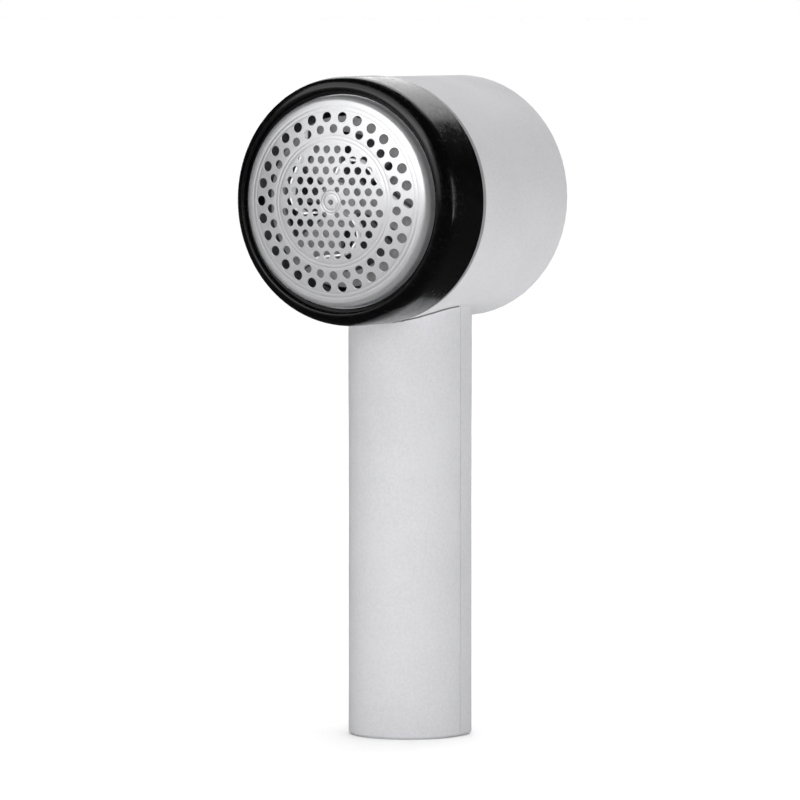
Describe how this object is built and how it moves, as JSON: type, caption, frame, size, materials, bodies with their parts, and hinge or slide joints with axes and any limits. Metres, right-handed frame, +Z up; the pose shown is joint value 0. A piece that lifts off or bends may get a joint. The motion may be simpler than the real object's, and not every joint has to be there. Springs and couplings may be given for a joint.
{
  "type": "fabric shaver",
  "caption": "Cordless fabric shaver: round perforated-foil cutting head on a straight handle, with screw-off cover ring, spinning cutter, pull-out lint bin and thumb switch.",
  "frame": {"origin": "centre of the bounding box on the plane of the handle's bottom face", "axes": "+Z up the handle, the cutting foil faces -Y, the lint bin pulls out along +Y, +X across the head"},
  "size_m": [0.0618, 0.067, 0.1661],
  "materials": {
    "armature_iron": "laminated",
    "black_gloss": "polished",
    "black_moulding": "satin moulded",
    "blade_steel": "ground",
    "board_green": "solder mask",
    "brass_metal": "plain",
    "cell_wrap": "heat-shrink film",
    "foil_steel": "satin, circular grain",
    "grey_moulding": "satin moulded",
    "grey_slider": "satin moulded",
    "lamp_clear": "clear tinted",
    "lead_black": "smooth insulation",
    "lead_red": "smooth insulation",
    "magnet_ferrite": "sintered, dull",
    "seal_rubber": "dull",
    "smoke_plastic": "smooth moulded",
    "white_bin_cap": "fine matte moulded",
    "white_shell": "fine matte moulded",
    "zinc_steel": "zinc plated"
  },
  "bodies": {
    "housing": {"main_body": "white_shell", "handle_cover": "white_shell", "front_collar": "grey_moulding", "collar_screw_1": "zinc_steel", "collar_screw_2": "zinc_steel", "collar_screw_3": "zinc_steel", "motor_can": "zinc_steel", "motor_end_cap": "black_moulding", "magnet_upper": "magnet_ferrite", "magnet_lower": "magnet_ferrite", "bush_front": "brass_metal", "bush_rear": "brass_metal", "terminal_left": "brass_metal", "terminal_right": "brass_metal", "motor_shroud": "grey_moulding", "motor_screw_left": "zinc_steel", "motor_screw_right": "zinc_steel", "handle_screw_lower": "zinc_steel", "handle_screw_upper": "zinc_steel", "battery_tray": "black_moulding", "battery_cell": "cell_wrap", "contact_lower": "zinc_steel", "contact_upper": "zinc_steel", "main_board": "board_green", "switch_body": "black_moulding", "indicator_light": "lamp_clear", "charging_socket": "zinc_steel", "charge_board": "board_green", "motor_wire_red": "lead_red", "motor_wire_black": "lead_black", "cell_wire_red": "lead_red", "cell_wire_black": "lead_black", "charge_wire": "lead_black"},
    "rotor": {"motor_shaft": "zinc_steel", "blade_hub": "grey_moulding", "blade_1": "blade_steel", "blade_2": "blade_steel", "blade_3": "blade_steel", "hub_spring": "zinc_steel", "impeller": "grey_moulding", "armature": "armature_iron", "commutator": "brass_metal"},
    "foil_carrier": {"cutting_foil": "foil_steel", "foil_retainer": "black_moulding"},
    "screw_ring": {"cover_ring": "black_gloss"},
    "lint_bin": {"bin_cup": "smoke_plastic", "bin_cap": "white_bin_cap", "bin_seal": "seal_rubber"},
    "switch": {"switch_slider": "grey_slider"}
  },
  "joints": [
    {"name": "cutter_spin", "type": "hinge", "parent": "housing", "child": "rotor", "pos_m": [0, 0, 0.1352], "axis": [0, 1, 0], "continuous": true},
    {"name": "ring_turn", "type": "hinge", "parent": "foil_carrier", "child": "screw_ring", "pos_m": [0, 0, 0.1352], "axis": [0, -1, 0], "range_deg": [0, 60]},
    {"name": "foil_lift", "type": "slide", "parent": "housing", "child": "foil_carrier", "axis": [0, -1, 0], "range_m": [0, 0.0036]},
    {"name": "bin_pull", "type": "slide", "parent": "housing", "child": "lint_bin", "axis": [0, 1, 0], "range_m": [0, 0.03]},
    {"name": "switch_slide", "type": "slide", "parent": "housing", "child": "switch", "axis": [0, 0, 1], "range_m": [0, 0.005]}
  ],
  "couplings": [
    {"joint": "foil_lift", "follows": "ring_turn", "m_per_rad": 0.003437}
  ]
}
